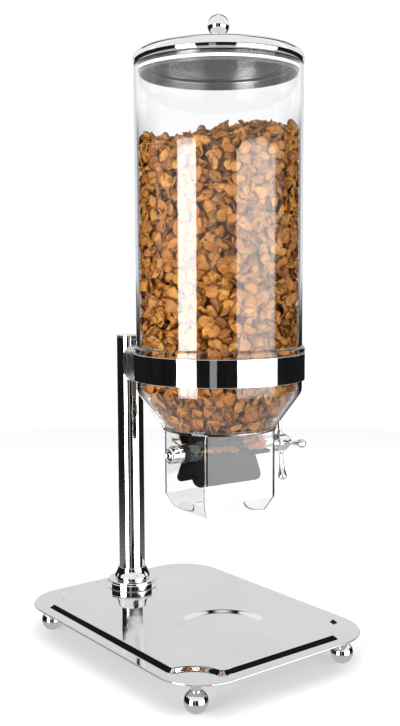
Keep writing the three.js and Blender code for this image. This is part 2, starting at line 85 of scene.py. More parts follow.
# ---- places, read from the frame ----
wheel_joint = next(j for j in frame["joints"] if j["name"] == "wheel_turn")
SHAFT_DIRECTION = Vector(wheel_joint["axis"])
SHAFT_CENTRE = Vector(wheel_joint["pos_m"])
TURN = math.atan2(SHAFT_DIRECTION.y, SHAFT_DIRECTION.x)

STAND = Matrix.Identity(4)
CONTAINER = Matrix.Translation((SHAFT_CENTRE.x, SHAFT_CENTRE.y, 0)) @ Matrix.Rotation(TURN, 4, "Z")
WHEEL = CONTAINER @ Matrix.Translation((0, 0, SHAFT_CENTRE.z)) @ Matrix.Rotation(QUARTER, 4, "Y")

body_of = {n: body for body, nodes in frame["record"]["behaviour"]["bodies"].items() for n in nodes}
slot_of = {part["node"]: part["material_slot"] for part in frame["record"]["subparts"]}


def span(node, place=STAND):
    """Lowest and highest corner of a CAD node in millimetres, along the axes of a place."""
    back = np.array(place.inverted())
    points = np.array([v.co for v in frame["nodes"][node].data.vertices], float)
    local = (points @ back[:3, :3].T + back[:3, 3]) / MM
    return Vector(local.min(0)), Vector(local.max(0))


def upright_at(node):
    """The place of a piece turned about an upright axis: the middle of its box, at floor height."""
    low, high = span(node)
    return Matrix.Translation(Vector(((low.x + high.x) / 2, (low.y + high.y) / 2, 0)) * MM)


def extent(node, place=None):
    """Radius, lowest and highest height of a round CAD node, about a place's axis or its own upright one."""
    low, high = span(node, place or upright_at(node))
    return high.x, low.z, high.z


# ---- material helpers ----
class Nodes:
    """A node tree, emptied, and a short way to add nodes to it."""

    def __init__(self, tree):
        self.tree = tree
        tree.nodes.clear()

    def feed(self, socket, value):
        """Links an output to a socket, or sets a number or colour on it."""
        if isinstance(value, bpy.types.NodeSocket):
            self.tree.links.new(value, socket)
        else:
            socket.default_value = value

    def add(self, kind, **sockets):
        node = self.tree.nodes.new("ShaderNode" + kind)
        for name, value in sockets.items():
            self.feed(node.inputs[name.replace("_", " ")], value)
        return node


class Look(Nodes):
    """A new material: a principled shader that noises give its tone, roughness and bumps."""

    def __init__(self, name, **sockets):
        self.material = bpy.data.materials.new(name)
        self.material.use_nodes = True
        super().__init__(self.material.node_tree)
        self.where = self.add("TexCoord").outputs["Object"]
        self.shader = self.add("BsdfPrincipled", **sockets)
        self.output = self.add("OutputMaterial", Surface=self.shader.outputs[0])

    def noise(self, scale, detail, stretch=(1, 1, 1), rough=0.5):
        mapping = self.add("Mapping", Vector=self.where, Scale=stretch)
        texture = self.add("TexNoise", Vector=mapping.outputs[0], Scale=scale, Detail=detail, Roughness=rough)
        return texture.outputs["Fac"]

    def ramp(self, value, *stops):
        """stops are (position, colour)."""
        node = self.add("ValToRGB", Fac=value)
        elements = node.color_ramp.elements
        while len(elements) < len(stops):
            elements.new(0.5)
        for element, (position, colour) in zip(elements, stops):
            element.position = position
            element.color = (*colour, 1)
        return node.outputs["Color"]

    def multiply(self, factor, first, second):
        node = self.add("Mix")
        node.data_type = "RGBA"
        node.blend_type = "MULTIPLY"
        for name, value in (("Factor", factor), ("A", first), ("B", second)):
            self.feed(next(s for s in node.inputs if s.name == name and s.enabled), value)
        return next(s for s in node.outputs if s.enabled)

    def tone(self, value, *stops):
        self.feed(self.shader.inputs["Base Color"], self.ramp(value, *stops))

    def roughness(self, value, low, high):
        """Maps the middle of a noise to the span from low to high."""
        node = self.add("MapRange", Value=value, From_Min=0.3, From_Max=0.7, To_Min=low, To_Max=high)
        self.feed(self.shader.inputs["Roughness"], node.outputs["Result"])

    def bump(self, height, strength, distance):
        node = self.add("Bump", Height=height, Strength=strength, Distance=distance)
        self.feed(self.shader.inputs["Normal"], node.outputs[0])


# ---- materials ----
def chrome(name, wave):
    """Mirror-polished stainless steel: a faint smear in the polish and a slow waviness of the sheet."""
    m = Look(name, Metallic=1.0)
    m.tone(m.noise(9, 4), (0.3, (0.77, 0.77, 0.78)), (0.7, (0.83, 0.83, 0.835)))
    m.roughness(m.noise(60, 5), 0.025, 0.06)
    m.bump(m.noise(14, 2), wave, 0.01)
    return m.material


def satin():
    """Satin stainless steel, with a fine grain that runs round or along the piece."""
    m = Look("satin_steel", Metallic=1.0)
    grain = m.noise(420, 4, (1, 1, 0.12), 0.6)
    m.tone(grain, (0.3, (0.46, 0.46, 0.47)), (0.7, (0.64, 0.64, 0.65)))
    m.roughness(grain, 0.22, 0.36)
    m.bump(grain, 0.12, 0.0004)
    return m.material


def spun():
    """Steel spun on a lathe: fine rings about the container's axis, in a dull grey."""
    m = Look("spun_steel", Metallic=1.0)
    from_axis = m.add("Mapping", Vector=m.where, Location=(-SHAFT_CENTRE.x, -SHAFT_CENTRE.y, 0), Scale=(1, 1, 0))
    reach = m.add("VectorMath", Vector=from_axis.outputs[0])
    reach.operation = "LENGTH"
    rings = m.add("TexNoise", Scale=900, Detail=3)
    rings.noise_dimensions = "1D"
    m.feed(rings.inputs["W"], reach.outputs["Value"])
    m.tone(rings.outputs["Fac"], (0.3, (0.14, 0.14, 0.145)), (0.7, (0.27, 0.27, 0.275)))
    m.roughness(rings.outputs["Fac"], 0.2, 0.3)
    return m.material


def acrylic():
    """Clear acrylic. Light from lamps passes straight through, so that what it holds is lit."""
    tint = (0.992, 0.995, 0.995, 1)
    m = Look("clear_acrylic", Roughness=0.02, IOR=1.49, Transmission_Weight=1.0, Base_Color=tint)
    m.bump(m.noise(7, 2), 0.015, 0.01)
    clear = m.add("BsdfTransparent", Color=(0.96, 0.965, 0.965, 1))
    path = m.add("LightPath")
    mix = m.add("MixShader", Fac=path.outputs["Is Shadow Ray"])
    m.feed(mix.inputs[1], m.shader.outputs[0])
    m.feed(mix.inputs[2], clear.outputs[0])
    m.feed(m.output.inputs["Surface"], mix.outputs[0])
    return m.material


def rubber():
    """Soft black rubber with a dusty bloom and a fine moulded grain."""
    m = Look("black_rubber", IOR=1.06)
    m.tone(m.noise(55, 5), (0.3, (0.005, 0.005, 0.0055)), (0.75, (0.012, 0.012, 0.0125)))
    m.roughness(m.noise(90, 4), 0.55, 0.7)
    m.bump(m.noise(1400, 2), 0.12, 0.0003)
    return m.material


def nylon():
    """Moulded black nylon, a little shinier than the rubber."""
    m = Look("black_nylon", IOR=1.5, Specular_IOR_Level=0.25)
    m.tone(m.noise(120, 3), (0.3, (0.012, 0.012, 0.013)), (0.7, (0.03, 0.03, 0.031)))
    m.roughness(m.noise(200, 3), 0.25, 0.4)
    m.bump(m.noise(900, 2), 0.1, 0.0002)
    return m.material


def silicone():
    """Milky silicone rubber, with a faint cloudiness."""
    m = Look("pale_silicone", IOR=1.42)
    m.tone(m.noise(30, 3), (0.3, (0.78, 0.78, 0.75)), (0.7, (0.86, 0.86, 0.84)))
    m.roughness(m.noise(90, 3), 0.3, 0.45)
    return m.material


def toasted_flake():
    """Toasted bran flake: each has its own tone, darkened by painted shade the deeper it lies behind the wall,
    with darker blisters and a rough, slightly sugary skin.
    """
    m = Look("toasted_flake", IOR=1.45)
    # The flake attribute holds each flake's own tone, with painted shade darkening the flakes that lie deeper
    # behind the wall.
    tone_and_shade = m.add("Attribute")
    tone_and_shade.attribute_name = "tone_and_shade"
    own = m.ramp(
        tone_and_shade.outputs["Fac"],
        (0.0, (0.21, 0.066, 0.006)),
        (0.45, (0.355, 0.133, 0.012)),
        (1.0, (0.50, 0.23, 0.032)),
    )
    spots = m.ramp(m.noise(420, 4, rough=0.6), (0.35, (0.62, 0.5, 0.42)), (0.6, (1.05, 1.05, 1.05)))
    m.feed(m.shader.inputs["Base Color"], m.multiply(0.8, own, spots))
    m.roughness(m.noise(500, 3), 0.38, 0.62)
    m.bump(m.noise(650, 5, rough=0.65), 0.5, 0.0006)
    return m.material


def cereal_dark():
    """What shows deep between the flakes: crumbs in shadow."""
    m = Look("cereal_dark", Roughness=0.9)
    m.tone(m.noise(160, 5), (0.35, (0.035, 0.011, 0.002)), (0.65, (0.13, 0.045, 0.008)))
    m.bump(m.noise(160, 4), 0.8, 0.004)
    return m.material


SHEET_CHROME = chrome("polished_sheet", 0.03)
SPUN = spun()
SLOT_MATERIAL = {
    "polished_steel": chrome("polished_chrome", 0.02),
    "satin_steel": satin(),
    "clear_acrylic": acrylic(),
    "black_rubber": rubber(),
    "pale_silicone": silicone(),
    "black_nylon": nylon(),
}
FLAKE = toasted_flake()
CEREAL_DARK = cereal_dark()


# ---- mesh helpers ----
def new_object(name, points, faces, place=STAND, unit=MM):
    """A mesh object from points that are in a unit, along the axes of a place."""
    mesh = bpy.data.meshes.new(name)
    mesh.from_pydata([tuple(unit * c for c in p) for p in points], [], faces)
    mesh.transform(place)
    build = bmesh.new()
    build.from_mesh(mesh)
    bmesh.ops.remove_doubles(build, verts=build.verts, dist=1e-7)
    bmesh.ops.recalc_face_normals(build, faces=build.faces)
    build.to_mesh(mesh)
    build.free()
    obj = bpy.data.objects.new(name, mesh)
    bpy.context.scene.collection.objects.link(obj)
    return obj


def soften(obj):
    """Smooth shading in which the large faces keep their own direction."""
    for polygon in obj.data.polygons:
        polygon.use_smooth = True
    weighted = obj.modifiers.new("weighted", "WEIGHTED_NORMAL")
    weighted.mode = "FACE_AREA"
    weighted.weight = 50
    weighted.keep_sharp = True


def stands_for(obj, node, material=None):
    """obj is the finished form of a CAD node: same body, same slot."""
    soften(obj)
    obj.data.materials.append(material or SLOT_MATERIAL[slot_of[node]])
    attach(obj, body_of[node])
    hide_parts(node)


def rounded(outline, closed, steps=5):
    """Rounds the corners of a line of (r, z) or (r, z, fillet) points."""
    points = []
    count = len(outline)
    for i, corner in enumerate(outline):
        here = Vector(corner[:2])
        fillet = corner[2] if len(corner) > 2 else 0
        at_end = not closed and i in (0, count - 1)
        if at_end or fillet == 0:
            points.append(here)
            continue
        before = Vector(outline[i - 1][:2])
        after = Vector(outline[(i + 1) % count][:2])
        start = here + (before - here).normalized() * fillet
        end = here + (after - here).normalized() * fillet
        for k in range(steps + 1):
            t = k / steps
            points.append(start * (1 - t) ** 2 + here * 2 * t * (1 - t) + end * t ** 2)
    return points


def around(count):
    """Cosine and sine at equal steps round a circle."""
    angles = [2 * math.pi * k / count for k in range(count)]
    return [(math.cos(a), math.sin(a)) for a in angles]


def lathe_mesh(outline, sides=96, closed=True):
    """Points and faces of a profile turned about Z. An open profile starts and ends on the axis."""
    profile = rounded(outline, closed)
    points = [(p.x * c, p.x * s, p.y) for p in profile for c, s in around(sides)]
    faces = []
    last = len(profile) if closed else len(profile) - 1
    for i in range(last):
        j = (i + 1) % len(profile)
        for k in range(sides):
            n = (k + 1) % sides
            face = [i * sides + k, i * sides + n, j * sides + n, j * sides + k]
            if profile[i].x < 1e-9:
                face = [i * sides, j * sides + n, j * sides + k]
            elif profile[j].x < 1e-9:
                face = [i * sides + k, i * sides + n, j * sides]
            faces.append(face)
    return points, faces


def lathe(name, outline, place=STAND, sides=96, closed=True, unit=MM):
    return new_object(name, *lathe_mesh(outline, sides, closed), place, unit)


def turned(node, outline, place=None, sides=96, closed=True, material=None):
    """The finished form of a round CAD node, about its own upright axis unless a place is given."""
    stands_for(lathe(node + "_fine", outline, place or upright_at(node), sides, closed), node, material)


def round_piece(place=None, **options):
    """Makes a builder of a function that gives a piece's outline from its radius, lowest and highest height."""
    def wrap(profile):
        node = profile.__name__
        return lambda: turned(node, profile(*extent(node, place)), place, **options)
    return wrap


def ring_outline(inner, outer, low, high, inner_fillet=0, outer_fillet=0):
    """The outline of a straight ring between two heights."""
    return [
        (inner, low, inner_fillet), (outer, low, outer_fillet),
        (outer, high, outer_fillet), (inner, high, inner_fillet),
    ]


def arc(cx, cy, radius, start, end, steps):
    return [
        (cx + radius * math.cos(start + (end - start) * k / steps),
         cy + radius * math.sin(start + (end - start) * k / steps))
        for k in range(steps + 1)
    ]


def four_corners(corner):
    """One corner's outline, for +X +Y, turned round to each of the four."""
    outline = []
    for sx, sy in ((1, 1), (-1, 1), (-1, -1), (1, -1)):
        points = [(x * sx, y * sy) for x, y in corner]
        outline += points if sx * sy > 0 else points[::-1]
    return outline


def rounded_rectangle(half_x, half_y, radius, steps=10):
    return four_corners(arc(half_x - radius, half_y - radius, radius, 0, QUARTER, steps))


def bridge(rings, closed=False):
    """Faces between rings of equal count; points are laid out ring after ring."""
    count = len(rings[0])
    points = [p for ring in rings for p in ring]
    faces = []
    last = len(rings) if closed else len(rings) - 1
    for level in range(last):
        above = (level + 1) % len(rings)
        for k in range(count):
            n = (k + 1) % count
            faces.append([level * count + k, level * count + n, above * count + n, above * count + k])
    return points, faces


def caps(rings):
    """The flat ends of a tube of rings."""
    return [(ring, [list(range(len(ring)))]) for ring in (rings[0], rings[-1])]


def at_height(outline, z):
    return [(x, y, z) for x, y in outline]


def fill_between(outer, inner):
    """Triangles over the flat region between two loops of points at one height."""
    loops = [[Vector(p) for p in outer]]
    if inner:
        loops.append([Vector(p) for p in inner])
    return list(outer) + list(inner), [list(t) for t in tessellate_polygon(loops)]


def merge(*parts):
    points, faces = [], []
    for some_points, some_faces in parts:
        start = len(points)
        points += list(some_points)
        faces += [[start + i for i in face] for face in some_faces]
    return points, faces


def combine(obj, other, operation):
    """Boolean of two objects; other is used up."""
    modifier = obj.modifiers.new("combine", "BOOLEAN")
    modifier.operation = operation
    modifier.solver = "EXACT"
    modifier.object = other
    depsgraph = bpy.context.evaluated_depsgraph_get()
    result = bpy.data.meshes.new_from_object(obj.evaluated_get(depsgraph))
    obj.modifiers.clear()
    obj.data = result
    bpy.data.objects.remove(other)
    return obj


# ---- base ----
def notched_outline(half_x, half_y, notch, shoulder, inset):
    """The plateau's outline moved inwards by inset. Each corner is a hollow arc between two round shoulders."""
    reach = notch + shoulder
    drop = math.sqrt(reach ** 2 - shoulder ** 2)
    tilt = math.atan2(shoulder, drop)
    convex = shoulder - inset
    hollow = notch + inset
    return four_corners([
        *arc(half_x - shoulder, half_y - drop, convex, 0, QUARTER - tilt, 12),
        *arc(half_x, half_y, hollow, -QUARTER - tilt, -2 * QUARTER + tilt, 28)[1:-1],
        *arc(half_x - drop, half_y - shoulder, convex, tilt, QUARTER, 12),
    ])


def base_tray():
    high = span("base_tray")[1]
    sheet = 2
    plateau_height = 3.5
    bevel = 7
    notch, shoulder, corner = 36, 10, 55
    top = high.z
    rim_top = top - plateau_height
    half_x, half_y = high.x - 12, high.y - 12
    recess_y, recess_floor = (value / MM for value in frame["record"]["mounts"][-1]["pos_m"][1:])

    def circle(radius, z, steps=128):
        return [(x, y + recess_y, z) for x, y in arc(0, 0, radius, 0, 2 * math.pi, steps)[:-1]]

    def plateau(inset, z):
        return at_height(notched_outline(half_x, half_y, notch, shoulder, inset), z)

    def rim(inset, z):
        outline = rounded_rectangle(high.x - inset, high.y - inset, corner - inset, 24)
        return at_height(outline, z)

    def fold(loop, inner, outer, low_z, high_z, radius):
        """Loops down a sloping band, with its two folds rounded."""
        run = outer - inner
        slope = (high_z - low_z) / run
        loops = []
        for k in range(15):
            t = -radius + (run + 2 * radius) * k / 14
            if t < radius:
                ease = slope * (t + radius) ** 2 / (4 * radius)
            elif t > run - radius:
                ease = high_z - low_z - slope * (run + radius - t) ** 2 / (4 * radius)
            else:
                ease = slope * t
            loops.append(loop(inner + t, low_z + ease))
        return loops

    half = sheet / 2
    edge = [rim(half * (1 - math.cos(a)), rim_top - half + half * math.sin(a))
            for a in np.linspace(-QUARTER, QUARTER, 9)]
    fold_radius = 1.1
    upper_bevel = fold(plateau, 0, bevel, rim_top, top, fold_radius)
    lower_bevel = fold(plateau, half, bevel + half, rim_top - sheet, top - sheet, fold_radius / 2)

    def dish(drop, grow):
        wide, narrow = 53.5 + grow, 46.5 + grow
        return fold(lambda r, z: circle(wide + narrow - r, z), narrow, wide, top - drop, recess_floor - drop, 1.0)

    upper_dish, lower_dish = dish(0, 0), dish(sheet, half)
    parts = [bridge(edge)]
    for rim_edge, slope, recess in ((edge[-1], upper_bevel, upper_dish), (edge[0], lower_bevel, lower_dish)):
        parts += [fill_between(rim_edge, slope[0]), bridge(slope), fill_between(slope[-1], recess[0])]
        parts += [bridge(recess), fill_between(recess[-1], [])]
    points, faces = merge(*parts)
    stands_for(new_object("base_tray_fine", points, faces), "base_tray", SHEET_CHROME)


def foot_ball(node):
    radius, _, high = extent(node)
    flat = 4
    neck = 5.5
    centre = math.sqrt(radius ** 2 - flat ** 2)
    start = math.asin(flat / radius) - QUARTER
    ball = arc(0, centre, radius, start, math.acos(neck / radius), 40)
    washer = 8
    outline = [(0, 0), *ball, (neck, high - 2.2), (washer, high - 2, 0.4), (washer, high, 0.4), (0, high)]
    turned(node, outline, closed=False)


# ---- post ----
POST_BORE = 16.2


@round_piece(sides=160)
def post_flange(radius, low, high):
    groove = high - 2.6
    return [
        (POST_BORE, low), (radius, low, 0.5), (radius, groove - 0.5, 0.3),
        (radius - 0.7, groove, 0.2), (radius - 0.7, high, 1.1), (POST_BORE, high, 0.2),
    ]


@round_piece(sides=128)
def post_collar(radius, low, high):
    return [
        (POST_BORE, low), (radius, low, 0.4), (radius, low + 3, 1),
        (18.9, low + 9, 3), (17.1, high, 0.4), (POST_BORE, high),
    ]


@round_piece(sides=128)
def post_tube(radius, low, high):
    return [(radius - 1.5, low), (radius, low), (radius, high, 0.3), (radius - 1.5, high)]


@round_piece(sides=128, closed=False)
def post_cap(radius, low, high):
    inner = 14.1
    skirt = high - 2
    return [(0, low), (inner, low, 0.3), (inner, skirt), (radius, skirt, 0.2), (radius, high, 0.9), (0, high)]


# ---- ring and its arm ----
def ring_arm():
    """A tapered forging: each line runs from the post's round face to the ring's, over a rounded section."""
    low, high = span("ring_arm")
    gap = 0.3
    post_radius, ring_radius = extent("post_tube")[0] + gap, extent("collar_ring")[0] + gap
    post_y, ring_y = (upright_at(node).translation.y / MM for node in ("post_tube", "collar_ring"))
    post_height = high.z - low.z
    stations = [  # share of the way, half width, half height, centre height
        (0.0, high.x, post_height / 2, (high.z + low.z) / 2),
        (0.16, high.x, post_height / 2, (high.z + low.z) / 2),
        (0.62, high.x * 0.9, 16, 329),
        (1.0, high.x * 0.865, 13.4, 332.4),
    ]
    shares, *measures = zip(*stations)
    along = 26
    squareness = 0.62
    rings = []
    for level in range(along + 1):
        t = level / along
        half_width, half_height, centre = (np.interp(t, shares, measure) for measure in measures)
        ring = []
        for c, s in around(72):
            x = half_width * math.copysign(abs(c) ** squareness, c)
            z = centre + half_height * math.copysign(abs(s) ** squareness, s)
            reach = min(abs(x), post_radius - 0.4)
            start = post_y - math.sqrt(post_radius ** 2 - reach ** 2)
            end = ring_y + math.sqrt(ring_radius ** 2 - x ** 2)
            ring.append((x, start + (end - start) * t, z))
        rings.append(ring)
    stands_for(new_object("ring_arm_fine", *merge(bridge(rings), *caps(rings))), "ring_arm")


def arm_bolt():
    low, high = span("arm_bolt")
    place = Matrix.Translation(Vector((0, high.y, (low.z + high.z) / 2)) * MM) @ Matrix.Rotation(QUARTER, 4, "X")
    radius = (high.z - low.z) / 2
    length = high.y - low.y
    outline = [
        (0, 0), (2.3, 0), (2.6, 0.4), (5.4, 0.8, 0.8), (radius, 2.8, 0.6),
        (radius, 5.4, 0.4), (4, 5.4), (4, length), (0, length),
    ]
    turned("arm_bolt", outline, place, 64, closed=False)


def arm_set_screw():
    low, high = span("arm_set_screw")
    middle = (low + high) / 2
    place = Matrix.Translation(Vector((low.x, middle.y, middle.z)) * MM) @ Matrix.Rotation(QUARTER, 4, "Y")
    radius = (high.z - low.z) / 2
    length = high.x - low.x
    outline = [(0, 0), (radius, 0, 0.6), (radius, length, 0.3), (0, length)]
    screw = lathe("arm_set_screw_fine", outline, place, 48, closed=False)
    socket = lathe("socket", [(0, -1), (1.7, -1), (1.7, 2.5), (0, 2.5)], place, 6, closed=False)
    stands_for(combine(screw, socket, "DIFFERENCE"), "arm_set_screw")


@round_piece(sides=256)
def collar_ring(radius, low, high):
    return ring_outline(radius - 1.5, radius, low, high, 0.4, 0.7)


@round_piece(sides=256)
def ring_liner(radius, low, high):
    return ring_outline(radius - 0.85, radius, low, high)


# ---- container ----
TUBE_WALL, CHUTE_WALL = 3.5, 2.2


@round_piece(CONTAINER, sides=256)
def container_tube(lip, low, high):
    radius = lip - 2.8
    inner = radius - TUBE_WALL
    shoulder = extent("collar_ring")[2] + 0.3
    return [
        (inner, low), (radius, low), (radius, shoulder), (lip, shoulder, 0.8),
        (lip, shoulder + 6, 1.6), (radius, shoulder + 7.2, 1.2), (radius, high, 0.6),
        (inner, high, 0.6),
    ]


def hopper_funnel():
    radius, low, high = extent("hopper_funnel", CONTAINER)
    inner = radius - TUBE_WALL
    cone_top, cone_bottom, bottom_radius, wall = 305, 267, 62.5, 2.9
    floor_top = low + 2.5
    outline = [
        (0, low), (bottom_radius, low, 0.5), (bottom_radius, cone_bottom, 1.5),
        (radius, cone_top, 4), (radius, high), (inner, high), (inner, cone_top + 1.4, 4),
        (bottom_radius - wall, floor_top + 3.2, 1.5), (bottom_radius - wall, floor_top, 1),
        (0, floor_top),
    ]
    cup = lathe("hopper_funnel_fine", outline, CONTAINER, 192, closed=False)
    chute = span("outlet_chute", CONTAINER)[1]
    throat = rounded_rectangle(chute.x - CHUTE_WALL, chute.y - CHUTE_WALL, 2.8)
    rings = [at_height(throat, low - 5), at_height(throat, floor_top + 2)]
    cutter = new_object("throat", *merge(bridge(rings), *caps(rings)), CONTAINER)
    stands_for(combine(cup, cutter, "DIFFERENCE"), "hopper_funnel")


def outlet_chute():
    low, high = span("outlet_chute", CONTAINER)
    bend, soft, corner = low.z + 15, 1.2, 5
    levels = [  # distance in from the widest outline along X and Y, height
        (7, 7.25, low.z), (soft * 0.5, soft * 0.5, bend - soft), (soft * 0.12, soft * 0.12, bend - soft * 0.3),
        (0, 0, bend + soft * 0.6), (0, 0, high.z),
    ]

    def wall(inset):
        return [
            at_height(rounded_rectangle(high.x - inset - dx, high.y - inset - dy, corner - inset), z)
            for dx, dy, z in levels
        ]

    chute = new_object("outlet_chute_fine", *bridge(wall(0) + wall(CHUTE_WALL)[::-1], closed=True), CONTAINER)
    hole = lathe("hole", [(0, -60), (8.2, -60), (8.2, 60), (0, 60)], WHEEL, 48, closed=False)
    stands_for(combine(chute, hole, "DIFFERENCE"), "outlet_chute")


# ---- lid ----
def bezier(start, corner, end, steps=14):
    points = []
    for k in range(steps + 1):
        t = k / steps
        points.append(tuple(
            p * (1 - t) ** 2 + 2 * q * t * (1 - t) + r * t ** 2 for p, q, r in zip(start, corner, end)
        ))
    return points


LID_SHEET = 0.8
LID_LIP_RADIUS = 87.5


@round_piece(CONTAINER, sides=256)
def lid_shell(radius, low, high):
    """A domed sheet whose edge is rolled in under the plug's flange."""
    widest = low + 6.7
    apex, edge, crown = 676, 80, 350

    def skin(inset):
        side, peak, lip = radius - inset, apex - inset, low + inset
        knee = peak - edge ** 2 / (2 * crown)
        corner = knee - (side - edge) * edge / crown
        rolled_edge = bezier((LID_LIP_RADIUS, lip), (side, lip), (side, widest))
        shoulder = bezier((side, widest), (side, corner), (edge, knee))
        radii = [edge - 4 * k for k in range(1, 20)] + [3.3]
        return [*rolled_edge, *shoulder[1:], *[(r, peak - r ** 2 / (2 * crown)) for r in radii]]

    return skin(0) + skin(LID_SHEET)[::-1]


@round_piece(CONTAINER, sides=192, closed=False, material=SPUN)
def lid_plug(radius, low, high):
    plug = 84
    inner = plug - 0.8
    ceiling, flange = 650, high - 1
    return [
        (0, ceiling), (38, ceiling), (39, ceiling + 0.35, 0.5), (60, ceiling + 0.35),
        (61, ceiling, 0.5), (inner, ceiling, 2.5), (inner, low, 0.2), (plug, low, 0.2),
        (plug, flange, 0.4), (radius, flange, 0.2), (radius, high, 0.2), (inner, high, 0.5),
        (inner - 1, ceiling + 1.2, 1.5), (0, ceiling + 1.2),
    ]


@round_piece(CONTAINER, sides=192)
def lid_seal(radius, low, high):
    inner = 84.3
    return [
        (inner, low), (radius, low, 0.4), (radius - 0.8, (low + high) / 2, 0.3),
        (radius, high, 0.4), (inner, high),
    ]


@round_piece(CONTAINER, closed=False)
def lid_knob(radius, low, high):
    neck = 6.5
    centre = high - radius
    foot = 676.3
    ball = arc(0, centre, radius, -math.acos(neck / radius), QUARTER, 44)[:-1]
    return [
        (0, low), (3, low), (3, foot), (neck + 1.4, foot, 0.3),
        (neck + 1.4, foot + 1.4, 0.4), (neck, foot + 2), *ball, (0, high),
    ]


# ---- wheel ----
SHAFT_BORE = 4.3


@round_piece(WHEEL, sides=64)
def wheel_core(radius, low, high):
    return ring_outline(SHAFT_BORE, 10, low, high, outer_fillet=0.5)


VANE_COUNT = 6
VANE_FIRST_ANGLE = math.radians(-30)  # from straight down, towards the front
VANE_THICKNESS = 2.6
VANE_REACH = 39.6
SLEEVE_BORE, SLEEVE_RADIUS, SLEEVE_HALF_LENGTH = 10.3, 13, 33


def vane_outline(reach, half_width, root):
    """A rectangle with round outer corners, in (out, along)."""
    corner = 9
    half = [(root, half_width), *arc(reach - corner, half_width - corner, corner, QUARTER, 0, 14)]
    return half + [(x, -y) for x, y in half[::-1]]


def shrunk(outline, distance):
    """A convex outline, moved inwards."""
    points = [Vector(p) for p in outline]
    middle = sum(points, Vector((0, 0))) / len(points)
    moved = []
    for i, p in enumerate(points):
        along = (points[(i + 1) % len(points)] - points[i - 1]).normalized()
        normal = Vector((-along.y, along.x))
        if normal.dot(middle - p) < 0:
            normal = -normal
        moved.append(tuple(p + normal * distance))
    return moved


def paddle_wheel():
    high = span("paddle_wheel", WHEEL)[1]
    outline = vane_outline(VANE_REACH, high.z, 11.8)
    half = VANE_THICKNESS / 2
    edge = 0.9
    levels = [(edge, -half), (edge * 0.3, -half + edge * 0.3), (0, -half + edge), (0, half - edge),
              (edge * 0.3, half - edge * 0.3), (edge, half)]
    rings = [[(x, y, z) for x, z in shrunk(outline, inset)] for inset, y in levels]
    points, faces = merge(bridge(rings), *caps(rings))
    sleeve = ring_outline(SLEEVE_BORE, SLEEVE_RADIUS, -SLEEVE_HALF_LENGTH, SLEEVE_HALF_LENGTH, 0.3, 0.6)
    paddle = lathe("paddle_wheel_fine", sleeve, WHEEL, 64)
    for k in range(VANE_COUNT):
        angle = VANE_FIRST_ANGLE + 2 * math.pi * k / VANE_COUNT
        vane = new_object("vane", points, faces, WHEEL @ Matrix.Rotation(angle, 4, "Z"))
        combine(paddle, vane, "UNION")
    stands_for(paddle, "paddle_wheel")


def ribbed_collar(node):
    """A short black sleeve with grip ribs round it."""
    low, high = extent(node, WHEEL)[1:]
    ribs, sides, outer, groove_depth = 12, 144, 9, 0.9
    levels = [  # radius, height, depth of the grooves
        (SHAFT_BORE, low, 0), (outer - 1.4, low, groove_depth), (outer, low + 0.4, groove_depth),
        (outer, high - 0.4, groove_depth), (outer - 1.4, high, groove_depth), (SHAFT_BORE, high, 0),
    ]
    rings = []
    for radius, z, depth in levels:
        ring = []
        for k in range(sides):
            angle = 2 * math.pi * k / sides
            r = radius - max(0.0, math.cos(ribs * angle)) ** 6 * depth
            ring.append((r * math.cos(angle), r * math.sin(angle), z))
        rings.append(ring)
    stands_for(new_object(node + "_fine", *bridge(rings, closed=True), WHEEL), node)


def shaft_bush(node, side):
    radius, low, high = extent(node, WHEEL)
    inside, outside = (low, high) if side > 0 else (high, low)
    flange = outside - side * 1.2
    outline = [
        (SHAFT_BORE, inside), (7.9, inside), (7.9, flange), (radius, flange, 0.2),
        (radius, outside, 0.5), (SHAFT_BORE, outside),
    ]
    turned(node, outline, WHEEL, 64)


@round_piece(WHEEL, sides=64)
def shaft_washer(radius, low, high):
    return ring_outline(SHAFT_BORE, radius, low, high, outer_fillet=0.2)


@round_piece(WHEEL, closed=False)
def cap_nut(radius, end, root):
    """A turned nut with a waist, and an end face with a ring groove round a low dome."""
    waist, bore_end = root - 6.7, -63.3
    return [
        (0, end), (2.2, end, 0.6), (3.2, end + 1.1, 0.5),
        (5.4, end + 1.1, 0.5), (6.2, end, 0.4), (7.6, end, 0.5),
        (radius, end + 1.5, 0.7), (radius, waist - 2, 0.5), (7.8, waist - 1, 0.3),
        (7.8, waist + 0.4, 0.3), (radius, waist + 1.4, 0.5), (radius, root - 1, 0.4),
        (8, root, 0.3), (SHAFT_BORE, root), (SHAFT_BORE, bore_end), (0, bore_end),
    ]


# ---- handle ----
@round_piece(WHEEL, sides=80)
def handle_sleeve(radius, low, high):
    return [
        (SHAFT_BORE, low), (7.5, low, 0.4), (7.5, low + 3, 0.8),
        (6.2, low + 5, 1.2), (6.2, high - 3.7, 1.2), (radius, high, 0.4),
        (SHAFT_BORE, high),
    ]


@round_piece(WHEEL)
def handle_hub(radius, low, high):
    bore_end = extent("drive_shaft", WHEEL)[2] + 1
    shoulder = high - 9
    dome = [(8 * math.cos(a), high - 8 + 8 * math.sin(a)) for a in np.linspace(0, QUARTER, 20)]
    return [
        (SHAFT_BORE, low), (8.4, low, 0.4), (10, low + 2, 1),
        (10, shoulder, 0.9), (8, shoulder + 0.8, 0.2), *dome[:-1],
        (0.3, high), (0.3, bore_end), (SHAFT_BORE, bore_end),
    ]


HANDLE_TURN = math.radians(-6)  # the lower arm swung towards -Y


